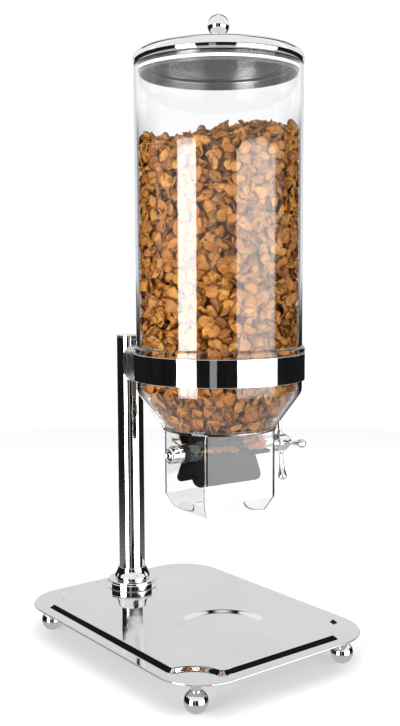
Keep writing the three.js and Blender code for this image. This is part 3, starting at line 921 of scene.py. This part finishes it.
def handle_arm(node, angle):
    """A turned arm: a seat collar, a thin neck and a swelling, rounded end."""
    low, high = span(node, WHEEL)
    seat = WHEEL @ Matrix.Translation((0, 0, (low.z + high.z) / 2 * MM))
    place = seat @ Matrix.Rotation(angle, 4, "Z") @ Matrix.Rotation(QUARTER, 4, "Y")
    outline = [
        (0, 6.8), (2.5, 6.8), (2.5, 10.3), (3.2, 10.6, 0.2), (3.0, 12, 0.6),
        *[(1.9 + 3.0 * t ** 2.1 + 0.15 * t, 14 + 24.6 * t) for t in np.linspace(0, 1, 27)],
        *[(4.0 + math.cos(a), 39.4 + 1.7 * math.sin(a)) for a in np.linspace(0.1, QUARTER, 8)],
        (3.4, 41.6, 0.3), (3.0, 42.9, 0.5), (1.6, 43.3, 0.4), (0, 43.4),
    ]
    turned(node, outline, place, 64, closed=False)


for build in (base_tray, post_flange, post_collar, post_tube, post_cap, ring_arm, arm_bolt, arm_set_screw,
              collar_ring, ring_liner, container_tube, hopper_funnel, outlet_chute, lid_shell, lid_plug, lid_seal,
              lid_knob, wheel_core, paddle_wheel, shaft_washer, cap_nut, handle_sleeve, handle_hub):
    build()
for end in ("front", "rear"):
    for side in ("left", "right"):
        foot_ball(f"foot_ball_{end}_{side}")
for side, sign in (("left", -1), ("right", 1)):
    ribbed_collar("core_collar_" + side)
    shaft_bush("shaft_bush_" + side, sign)
for index, side in enumerate(("lower", "rear", "upper", "front")):
    handle_arm("handle_arm_" + side, HANDLE_TURN + index * QUARTER)

KEPT_NODES = [
    "post_plug", "post_washer", "post_bolt", "knob_nut", "drive_shaft", "handle_set_screw",
    *[n for n in frame["nodes"] if n.startswith("foot_stud")],
]
for node in KEPT_NODES:
    materials = frame["nodes"][node].data.materials
    materials.clear()
    materials.append(SLOT_MATERIAL["satin_steel"])


# ---- cereal ----
CEREAL_TOP = 0.576
TUBE_INSIDE = 86.2 * MM
CONE_TOP_Z, CONE_BOTTOM_Z, CONE_BOTTOM_R = 306.4 * MM, 269.4 * MM, 59.3 * MM
FLOOR_Z = 266.6 * MM
FLOOR_STRIP = 14 * MM
CONE_RUN, CONE_RISE = TUBE_INSIDE - CONE_BOTTOM_R, CONE_TOP_Z - CONE_BOTTOM_Z
CONE_LENGTH = math.hypot(CONE_RUN, CONE_RISE)
CLEARANCE = 0.2 * MM
WHEEL_CLEAR_RADIUS, WHEEL_CLEAR_HALF_LENGTH = 40.2 * MM, 44.5 * MM
POCKET_RADIUS, POCKET_HALF_LENGTH = 39.3 * MM, 43.4 * MM
THROAT_HALF_X, THROAT_HALF_Y = 43.8 * MM, 39.6 * MM


def flake_form(segments, rings):
    """Points and faces of a unit disc with a top and a bottom skin that meet at the rim."""
    points, faces = [], []
    for side in (1, -1):
        points.append((0, 0, side))
        for share in [ring / rings for ring in range(1, rings)]:
            points += [(share * c, share * s, side * (1 - share ** 3)) for c, s in around(segments)]
    rim, per_side = len(points), 1 + segments * (rings - 1)
    points += [(c, s, 0) for c, s in around(segments)]

    def index(start, level, k):
        if level == rings:
            return rim + k
        return start + 1 + (level - 1) * segments + k if level else start

    for side, start in ((1, 0), (-1, per_side)):
        for ring in range(rings):
            for k in range(segments):
                n = (k + 1) % segments
                face = [index(start, ring, k), index(start, ring + 1, k), index(start, ring + 1, n)]
                if ring:
                    face.append(index(start, ring, n))
                faces.append(face[::side])
    return np.array(points), faces


FLAKE_HALF_THICKNESS = 0.45 * MM


def flake_points(form, size):
    """One flake: a broken-edged oval, curled, rippled and blistered."""
    angle = np.arctan2(form[:, 1], form[:, 0])
    share = np.hypot(form[:, 0], form[:, 1])
    wobble = sum(
        rng.uniform(0.3, 1) * weight * np.cos(k * angle + rng.uniform(0, 2 * math.pi))
        for k, weight in ((2, 0.14), (3, 0.15), (5, 0.08), (7, 0.06))
    )
    reach = share * (1 + wobble * share)
    x = reach * np.cos(angle) * size
    y = reach * np.sin(angle) * size * rng.uniform(0.55, 0.92)
    curl = rng.uniform(-0.55, 0.55, 2) / size
    fold = rng.uniform(-0.25, 0.25) * np.abs(x + rng.uniform(-0.4, 0.4) * y)
    ripple = rng.uniform(0.04, 0.12) * size * np.sin(3 * angle + rng.uniform(0, 6)) * share ** 2
    blister = 0.05 * size * np.sin(x / size * rng.uniform(3, 6) + rng.uniform(0, 6))
    bowl = curl[0] * x ** 2 * 0.55 + curl[1] * y ** 2 * 0.55
    z = form[:, 2] * FLAKE_HALF_THICKNESS + bowl + fold + ripple + blister
    return np.stack([x, y, z - z.mean()], 1)


def facing(normal, tilt):
    """Axes with the third near a direction, tilted at random and spun about itself."""
    n = np.array(normal, float) + rng.normal(0, tilt, 3)
    n /= np.linalg.norm(n)
    side = np.cross(n, rng.normal(0, 1, 3))
    side /= np.linalg.norm(side)
    return np.stack([side, np.cross(n, side), n], 1)


def inside_wall(points):
    """How far points in the container's axes are from its wall, funnel and floor; negative is outside."""
    r = np.hypot(points[:, 0], points[:, 1])
    z = points[:, 2]
    cone = ((z - CONE_BOTTOM_Z) * CONE_RUN - (r - CONE_BOTTOM_R) * CONE_RISE) / CONE_LENGTH
    return np.minimum(np.minimum(TUBE_INSIDE - r, cone), z - FLOOR_Z)


def in_wheel_path(points):
    """Whether any of some points in the container's axes lies where the wheel's pockets pass."""
    reach = np.hypot(points[:, 1], points[:, 2] - SHAFT_CENTRE.z)
    return bool(((reach < WHEEL_CLEAR_RADIUS) & (np.abs(points[:, 0]) < WHEEL_CLEAR_HALF_LENGTH)).any())


class FlakePile:
    """Collects flakes in one mesh."""

    def __init__(self, segments=14, rings=3):
        self.form, self.form_faces = flake_form(segments, rings)
        self.points, self.faces, self.shades = [], [], []
        self.count = 0

    def add(self, points, tone_and_shade):
        start = self.count * len(self.form)
        self.points.append(points)
        self.faces += [[start + i for i in face] for face in self.form_faces]
        # Each flake's value is its own tone, lowered by painted shade for flakes deep behind the wall.
        self.shades += [min(1.0, max(0.0, tone_and_shade))] * len(self.form)
        self.count += 1

    def finish(self, name, body="container"):
        mesh = bpy.data.meshes.new(name)
        mesh.from_pydata(np.concatenate(self.points).tolist(), [], self.faces)
        mesh.transform(CONTAINER)
        attribute = mesh.attributes.new("tone_and_shade", "FLOAT", "POINT")
        attribute.data.foreach_set("value", np.array(self.shades, np.float32))
        for polygon in mesh.polygons:
            polygon.use_smooth = True
        mesh.materials.append(FLAKE)
        obj = bpy.data.objects.new(name, mesh)
        bpy.context.scene.collection.objects.link(obj)
        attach(obj, body)


def wall_place(s):
    """Point (r, z) and inward direction (dr, dz) on the wall at a length s up from the funnel's floor."""
    if s < FLOOR_STRIP:
        return (CONE_BOTTOM_R - FLOOR_STRIP + s, FLOOR_Z), (0, 1)
    s -= FLOOR_STRIP
    if s < CONE_LENGTH:
        t = s / CONE_LENGTH
        place = (CONE_BOTTOM_R + CONE_RUN * t, CONE_BOTTOM_Z + CONE_RISE * t)
        return place, (-CONE_RISE / CONE_LENGTH, CONE_RUN / CONE_LENGTH)
    return (TUBE_INSIDE, CONE_TOP_Z + s - CONE_LENGTH), (-1, 0)


def heap_height(x, y):
    """The uneven top of the cereal."""
    return CEREAL_TOP + 7 * MM * math.sin(38 * x + 0.6) + 6 * MM * math.cos(45 * y + 31 * x)


def wall_flakes(pile, depth, spacing, tilt, low, high):
    """A layer of flakes behind the wall between two heights, at some depth from it. The deeper the layer, the
    darker its flakes are painted, as painted shade.
    """
    s = 0.0
    total = FLOOR_STRIP + CONE_LENGTH + CEREAL_TOP + 14 * MM - CONE_TOP_Z
    while s < total:
        (r, z), inward = wall_place(s)
        count = max(8, int(2 * math.pi * r / spacing))
        for k in range(count):
            angle = 2 * math.pi * (k + rng.uniform(-0.5, 0.5)) / count
            (r, z), inward = wall_place(min(total, max(0, s + rng.uniform(-0.5, 0.5) * spacing)))
            if not low <= z < high:
                continue
            size = rng.uniform(6.6, 9.6) * MM
            normal = np.array([inward[0] * math.cos(angle), inward[0] * math.sin(angle), inward[1]])
            start = np.array([r * math.cos(angle), r * math.sin(angle), z]) + normal * depth
            points = flake_points(pile.form, size) @ facing(normal, tilt).T + start
            points = points + normal * max(0.0, CLEARANCE - inside_wall(points).min())
            if inside_wall(points).min() < 0 or in_wheel_path(points):
                continue
            if points[:, 2].max() > heap_height(points[0, 0], points[0, 1]) + 5 * MM:
                continue
            # Painted shade: the deeper the layer behind the wall, the darker its flakes, for the shadow that falls
            # between the layers.
            pile.add(points, rng.normal(0.55, 0.24) - (depth - 1.5 * MM) * 40)
        s += spacing


def top_flakes(pile):
    """Flakes lying on the heap."""
    for _ in range(330):
        r = TUBE_INSIDE * math.sqrt(rng.uniform(0, 1)) * 0.96
        angle = rng.uniform(0, 2 * math.pi)
        x, y = r * math.cos(angle), r * math.sin(angle)
        z = heap_height(x, y) + rng.uniform(-4, 2) * MM
        points = flake_points(pile.form, rng.uniform(6.6, 9.4) * MM) @ facing((0, 0, 1), 0.55).T + (x, y, z)
        inward = np.array([-math.cos(angle), -math.sin(angle), 0])
        points = points + inward * max(0.0, CLEARANCE - inside_wall(points).min())
        pile.add(points, rng.normal(0.6, 0.2))


def add_clear(pile, wanted, tries, draw, shade_middle, shade_spread):
    """Adds flakes drawn one by one, leaving out those that draw gives as None, until enough lie clear."""
    made = tried = 0
    while made < wanted and tried < wanted * tries:
        tried += 1
        points = draw()
        if points is not None:
            pile.add(points, rng.normal(shade_middle, shade_spread))
            made += 1


def pocket_flakes(pile, pocket, wanted, fill, along=(-40 * MM, 40 * MM)):
    """Flakes in one pocket of the wheel, counted round from straight down.

    fill is where they lie between its two vanes, from -1 to 1, and along is where along the shaft.
    """
    half = math.pi / VANE_COUNT
    middle = VANE_FIRST_ANGLE + half + pocket * 2 * half

    def draw():
        radius = rng.uniform(16, 38) * MM
        angle = middle + rng.uniform(*fill) * half
        centre = (rng.uniform(*along), radius * math.sin(angle), SHAFT_CENTRE.z - radius * math.cos(angle))
        points = flake_points(pile.form, rng.uniform(5.6, 8.2) * MM) @ facing((0, 0.1, 1), 0.35).T + centre
        y, z = points[:, 1], points[:, 2] - SHAFT_CENTRE.z
        r = np.hypot(y, z)
        bearing = (np.arctan2(y, -z) - middle + math.pi) % (2 * math.pi) - math.pi
        room = r * np.sin(half - np.abs(bearing)) - VANE_THICKNESS * MM / 2
        clear_of_vanes = room.min() >= CLEARANCE and r.min() >= SLEEVE_RADIUS * MM + 0.4 * MM
        in_pocket = r.max() <= POCKET_RADIUS and np.abs(points[:, 0]).max() <= POCKET_HALF_LENGTH
        return points if clear_of_vanes and in_pocket else None

    add_clear(pile, wanted, 80, draw, 0.6, 0.22)


def throat_flakes(pile, wanted):
    """Flakes over the wheel, between its circle and the funnel's floor."""
    def draw():
        x, y = rng.uniform(-40, 40) * MM, rng.uniform(-37, 37) * MM
        z = rng.uniform(262, 290) * MM
        size = rng.uniform(6, 8.6) * MM
        points = flake_points(pile.form, size) @ facing((0, y, z - SHAFT_CENTRE.z), 0.02).T + (x, y, z)
        r = np.hypot(points[:, 1], points[:, 2] - SHAFT_CENTRE.z)
        in_throat = (np.abs(points[:, 0]) < THROAT_HALF_X) & (np.abs(points[:, 1]) < THROAT_HALF_Y)
        clear = r.min() >= WHEEL_CLEAR_RADIUS and (in_throat | (inside_wall(points) > CLEARANCE)).all()
        return points if clear else None

    add_clear(pile, wanted, 60, draw, 0.5, 0.2)


def cereal_core():
    """The shaded mass behind the flakes, bumpy, clear of the wheel."""
    bottom = 281 * MM
    inset = 13 * MM
    outline = [(0, bottom), (44 * MM, bottom, 3 * MM), (TUBE_INSIDE - inset, 310 * MM, 6 * MM),
               (TUBE_INSIDE - inset, CEREAL_TOP - 13 * MM, 8 * MM), (0, CEREAL_TOP - 12 * MM)]
    core = lathe("cereal_core", outline, CONTAINER, 64, closed=False, unit=1)
    soften(core)
    core.data.materials.append(CEREAL_DARK)
    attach(core, "container")


def cereal():
    middle = 0.44
    for name, low, high in (("lower", 0, middle), ("upper", middle, 1)):
        front = FlakePile()
        wall_flakes(front, 1.9 * MM, 10.5 * MM, 0.55, low, high)
        front.finish(f"flakes_{name}_front")
        behind = FlakePile(8, 2)
        wall_flakes(behind, 6.5 * MM, 10.5 * MM, 0.6, low, high)
        wall_flakes(behind, 10.5 * MM, 11.5 * MM, 0.6, low, high)
        behind.finish(f"flakes_{name}_behind")
    heap = FlakePile()
    top_flakes(heap)
    heap.finish("flakes_heap")
    throat = FlakePile()
    throat_flakes(throat, 150)
    throat.finish("flakes_throat")
    portions = FlakePile()
    pocket_flakes(portions, 2, 60, (-1, 1))
    pocket_flakes(portions, 3, 60, (-1, 1))
    pocket_flakes(portions, 4, 16, (0.5, 1))
    pocket_flakes(portions, 4, 22, (0.1, 1), (18 * MM, 41 * MM))
    portions.finish("flakes_wheel", "wheel")
    cereal_core()


cereal()


# ---- studio ----
TO_CAMERA = Vector((CAMERA_PLACE.x - SHAFT_CENTRE.x, CAMERA_PLACE.y - SHAFT_CENTRE.y, 0)).normalized()
FLOOR_RADIUS, FLOOR_THICKNESS = 1.6, 0.02
FLOOR_GLOW = 0.07
FLAG_RADIUS = 2.6
FLAG_HALF_ANGLE = math.radians(112)
FLAG_BOTTOM, FLAG_TOP = -0.05, 1.05
LAMP_DISTANCE = 2.2
LAMP_BOTTOM, LAMP_TOP = -0.7, 0.84
OVERHEAD_SIZE, OVERHEAD_HEIGHT, OVERHEAD_REACH, OVERHEAD_RADIANCE = 1.8, 2.6, 0.5, 2.0
EYE_STRENGTH = 1.03
FILL_STRENGTH = 0.76


def stage_floor():
    """A plain pale floor. The polished metal is shown the studio instead of it, as over a white light table."""
    m = Look("studio_floor", Roughness=0.6, Emission_Color=(1, 1, 1, 1), Emission_Strength=FLOOR_GLOW)
    m.tone(m.noise(3, 2), (0.3, (0.965, 0.965, 0.965)), (0.7, (0.98, 0.98, 0.98)))
    outline = [(0, 0), (FLOOR_RADIUS, 0), (FLOOR_RADIUS, -FLOOR_THICKNESS), (0, -FLOOR_THICKNESS)]
    floor = new_object("floor", *lathe_mesh(outline, closed=False), unit=1)
    floor.data.materials.append(m.material)
    floor.visible_glossy = False
    floor.visible_transmission = False


def stage_flag():
    """A black curtain round the front, low enough that the lid sees the white studio over it."""
    m = Look("studio_flag", Roughness=1.0, Specular_IOR_Level=0.0)
    m.tone(m.noise(2, 2), (0.3, (0.006, 0.006, 0.006)), (0.7, (0.012, 0.012, 0.012)))
    start = math.atan2(TO_CAMERA.y, TO_CAMERA.x)
    bearings = np.linspace(start - FLAG_HALF_ANGLE, start + FLAG_HALF_ANGLE, 65)
    rings = [
        [(FLAG_RADIUS * math.cos(a), SHAFT_CENTRE.y + FLAG_RADIUS * math.sin(a), z) for a in bearings]
        for z in (FLAG_BOTTOM, FLAG_TOP)
    ]
    count = len(bearings)
    faces = [[k, k + 1, count + k + 1, count + k] for k in range(count - 1)]
    flag = new_object("flag", rings[0] + rings[1], faces, unit=1)
    flag.data.materials.append(m.material)
    flag.visible_camera = False
    flag.visible_diffuse = False
    flag.visible_transmission = False
    flag.visible_shadow = False


def area_lamp(name, place, width, height, radiance):
    """A lamp that the camera does not see, looking down until it is turned."""
    data = bpy.data.lights.new(name, "AREA")
    data.shape = "RECTANGLE"
    data.size, data.size_y = width, height
    data.energy = radiance * math.pi * width * height
    lamp = bpy.data.objects.new(name, data)
    lamp.location = place
    lamp.visible_camera = False
    bpy.context.scene.collection.objects.link(lamp)
    return lamp


def softbox(name, bearing, width, radiance):
    """An upright lamp. Its bearing is from the camera's, in degrees counterclockwise seen from above."""
    out = Matrix.Rotation(math.radians(bearing), 4, "Z") @ TO_CAMERA * LAMP_DISTANCE
    place = (out.x, out.y + SHAFT_CENTRE.y, (LAMP_TOP + LAMP_BOTTOM) / 2)
    lamp = area_lamp(name, place, width, LAMP_TOP - LAMP_BOTTOM, radiance)
    lamp.rotation_euler = (-out).to_track_quat("-Z", "Y").to_euler()


def overhead_lamp():
    """A broad lamp over the front that lights the piece and shows in no mirror."""
    place = (TO_CAMERA.x * OVERHEAD_REACH, TO_CAMERA.y * OVERHEAD_REACH, OVERHEAD_HEIGHT)
    area_lamp("overhead", place, OVERHEAD_SIZE, OVERHEAD_SIZE, OVERHEAD_RADIANCE).visible_glossy = False


# Fades of the studio that mirrors see, each from where it is dark to where it is full. Heights are the sine of
# the elevation, AHEAD is the cosine of the bearing from the camera's direction and ASIDE the sine.
REAR_AHEAD = (0.0, -0.2)
FRONT_AHEAD, FRONT_FOOT = (-0.25, -0.05), (0.0, 0.05)
CEILING, UNDER_CEILING = (0.90, 0.93), (0.93, 0.90)
SWEEP_ASIDE, SWEEP_FOOT, SWEEP_HEAD = (0.56, 0.46), (-0.03, 0.0), (0.60, 0.55)
SIDES_FOOT, SIDES_HEAD = (0.13, 0.17), (0.50, 0.42)
CREST_ASIDE, CREST_FOOT = (0.42, 0.34), (0.55, 0.60)
GAP_ASIDE, GAP_FOOT, GAP_HEAD = (0.26, 0.22), (0.68, 0.71), (0.86, 0.84)
FLANKS_ASIDE, FLANKS_FOOT = (0.70, 0.80), (0.42, 0.50)
GROUND_HEAD = (-0.2, -0.45)
SWEEP_GLOW, GROUND_GLOW, LEAST_GLOW = 0.8, 0.55, 0.012


def studio_world():
    """White to the eye. Mirrors see white in front, above and in patches behind, grey below, dark between."""
    world = bpy.data.worlds.new("studio")
    bpy.context.scene.world = world
    world.use_nodes = True
    m = Nodes(world.node_tree)

    def maths(operation, *values):
        node = m.add("Math")
        node.operation = operation
        for socket, value in zip(node.inputs, values):
            m.feed(socket, value)
        return node.outputs[0]

    def product(first, *others):
        for other in others:
            first = maths("MULTIPLY", first, other)
        return first

    def total(first, *others):
        for other in others:
            first = maths("ADD", first, other)
        return first

    def opposite(value):
        return maths("SUBTRACT", 1.0, value)

    def fade(value, dark, full):
        node = m.add("MapRange", Value=value, From_Min=dark, From_Max=full)
        node.interpolation_type = "SMOOTHSTEP"
        return node.outputs["Result"]

    direction = m.add("TexCoord").outputs["Generated"]
    x, y, z = m.add("SeparateXYZ", Vector=direction).outputs
    level = maths("SQRT", maths("SUBTRACT", 1.0001, product(z, z)))
    ahead = maths("DIVIDE", total(product(x, TO_CAMERA.x), product(y, TO_CAMERA.y)), level)
    aside = maths("ABSOLUTE", maths("DIVIDE", total(product(x, -TO_CAMERA.y), product(y, TO_CAMERA.x)), level))
    rear = fade(ahead, *REAR_AHEAD)
    under_ceiling = fade(z, *UNDER_CEILING)
    behind = product(fade(aside, *SWEEP_ASIDE), rear)
    sweep = product(behind, fade(z, *SWEEP_FOOT), fade(z, *SWEEP_HEAD))
    front = product(fade(ahead, *FRONT_AHEAD), fade(z, *FRONT_FOOT), under_ceiling)
    sides = product(opposite(behind), rear, fade(z, *SIDES_FOOT), fade(z, *SIDES_HEAD))
    gap = product(fade(aside, *GAP_ASIDE), fade(z, *GAP_FOOT), fade(z, *GAP_HEAD))
    crest = product(rear, fade(aside, *CREST_ASIDE), fade(z, *CREST_FOOT), under_ceiling, opposite(gap))
    flanks = product(rear, fade(aside, *FLANKS_ASIDE), fade(z, *FLANKS_FOOT), under_ceiling)
    ground = product(fade(z, *GROUND_HEAD), GROUND_GLOW)
    glow = total(product(sweep, SWEEP_GLOW), front, sides, crest, flanks, fade(z, *CEILING), ground, LEAST_GLOW)

    rays = m.add("LightPath").outputs
    not_glossy = maths("LESS_THAN", rays["Glossy Depth"], 0.5)
    not_diffuse = maths("LESS_THAN", rays["Diffuse Depth"], 0.5)
    through_glass = product(not_glossy, not_diffuse, rays["Is Transmission Ray"])
    eye = maths("MAXIMUM", rays["Is Camera Ray"], through_glass)
    mirror = product(opposite(eye), not_diffuse)
    rest = product(opposite(eye), opposite(mirror))
    strength = total(product(eye, EYE_STRENGTH), product(mirror, glow), product(rest, FILL_STRENGTH))
    background = m.add("Background", Color=(1, 1, 1, 1), Strength=strength)
    m.add("OutputWorld", Surface=background.outputs[0])


def studio():
    stage_floor()
    stage_flag()
    studio_world()
    overhead_lamp()
    softbox("softbox_left", -43, 1.02, 10.5)
    softbox("softbox_right", 52, 2.4, 3.6)
    softbox("softbox_centre", -7.5, 0.34, 0.3)
    view = bpy.context.scene.view_settings
    view.view_transform = "Standard"
    view.look = "None"


studio()
